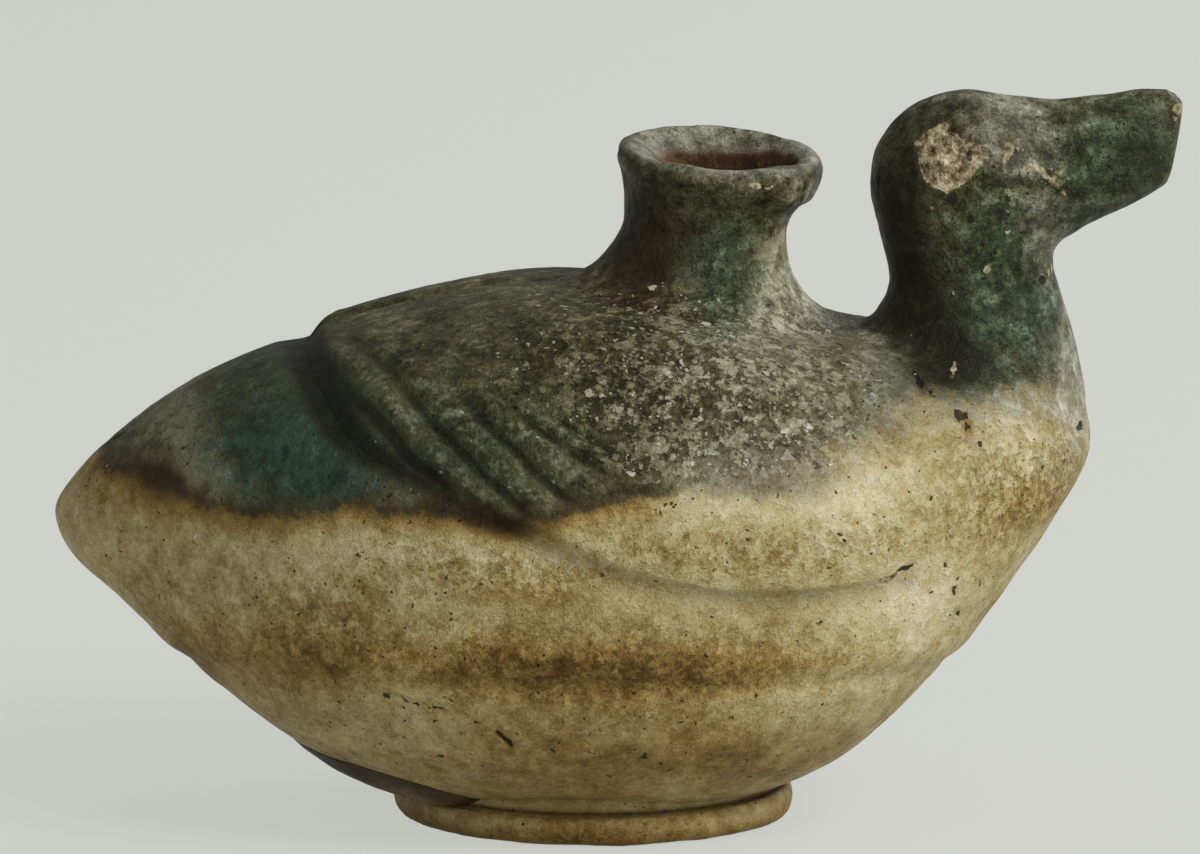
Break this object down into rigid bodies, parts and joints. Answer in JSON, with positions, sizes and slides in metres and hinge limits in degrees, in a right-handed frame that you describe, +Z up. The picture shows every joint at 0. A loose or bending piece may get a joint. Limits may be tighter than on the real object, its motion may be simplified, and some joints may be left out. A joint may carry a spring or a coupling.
{
  "type": "askos",
  "caption": "Duck-shaped lead-glazed pouring vessel: hollow body on a foot ring, filling neck with a rolled lip on the back, duck's neck, head and bill at the front, and raised wings.",
  "frame": {"origin": "middle of the bounding box in plan, on the plane that the foot ring stands on", "axes": "+X along the duck towards its bill, +Y to its left, +Z up"},
  "size_m": [0.1497, 0.088, 0.0974],
  "materials": {
    "foot_clay": "olive brown glaze worn thin over fired clay",
    "ochre_glaze": "mottled ochre and cream lead glaze, pitted and weathered",
    "mantle_glaze": "grainy grey green lead glaze with pale specks where it has flaked",
    "green_glaze": "dark green lead glaze with pale losses"
  },
  "bodies": {
    "root": {"ring_foot": "foot_clay", "foot_clay_pad": "foot_clay", "lower_bowl": "ochre_glaze", "upper_body": "ochre_glaze", "right_wing": "mantle_glaze", "left_wing": "mantle_glaze", "filling_neck": "mantle_glaze", "duck_neck": "green_glaze", "duck_head": "green_glaze", "bill": "green_glaze"}
  },
  "joints": []
}
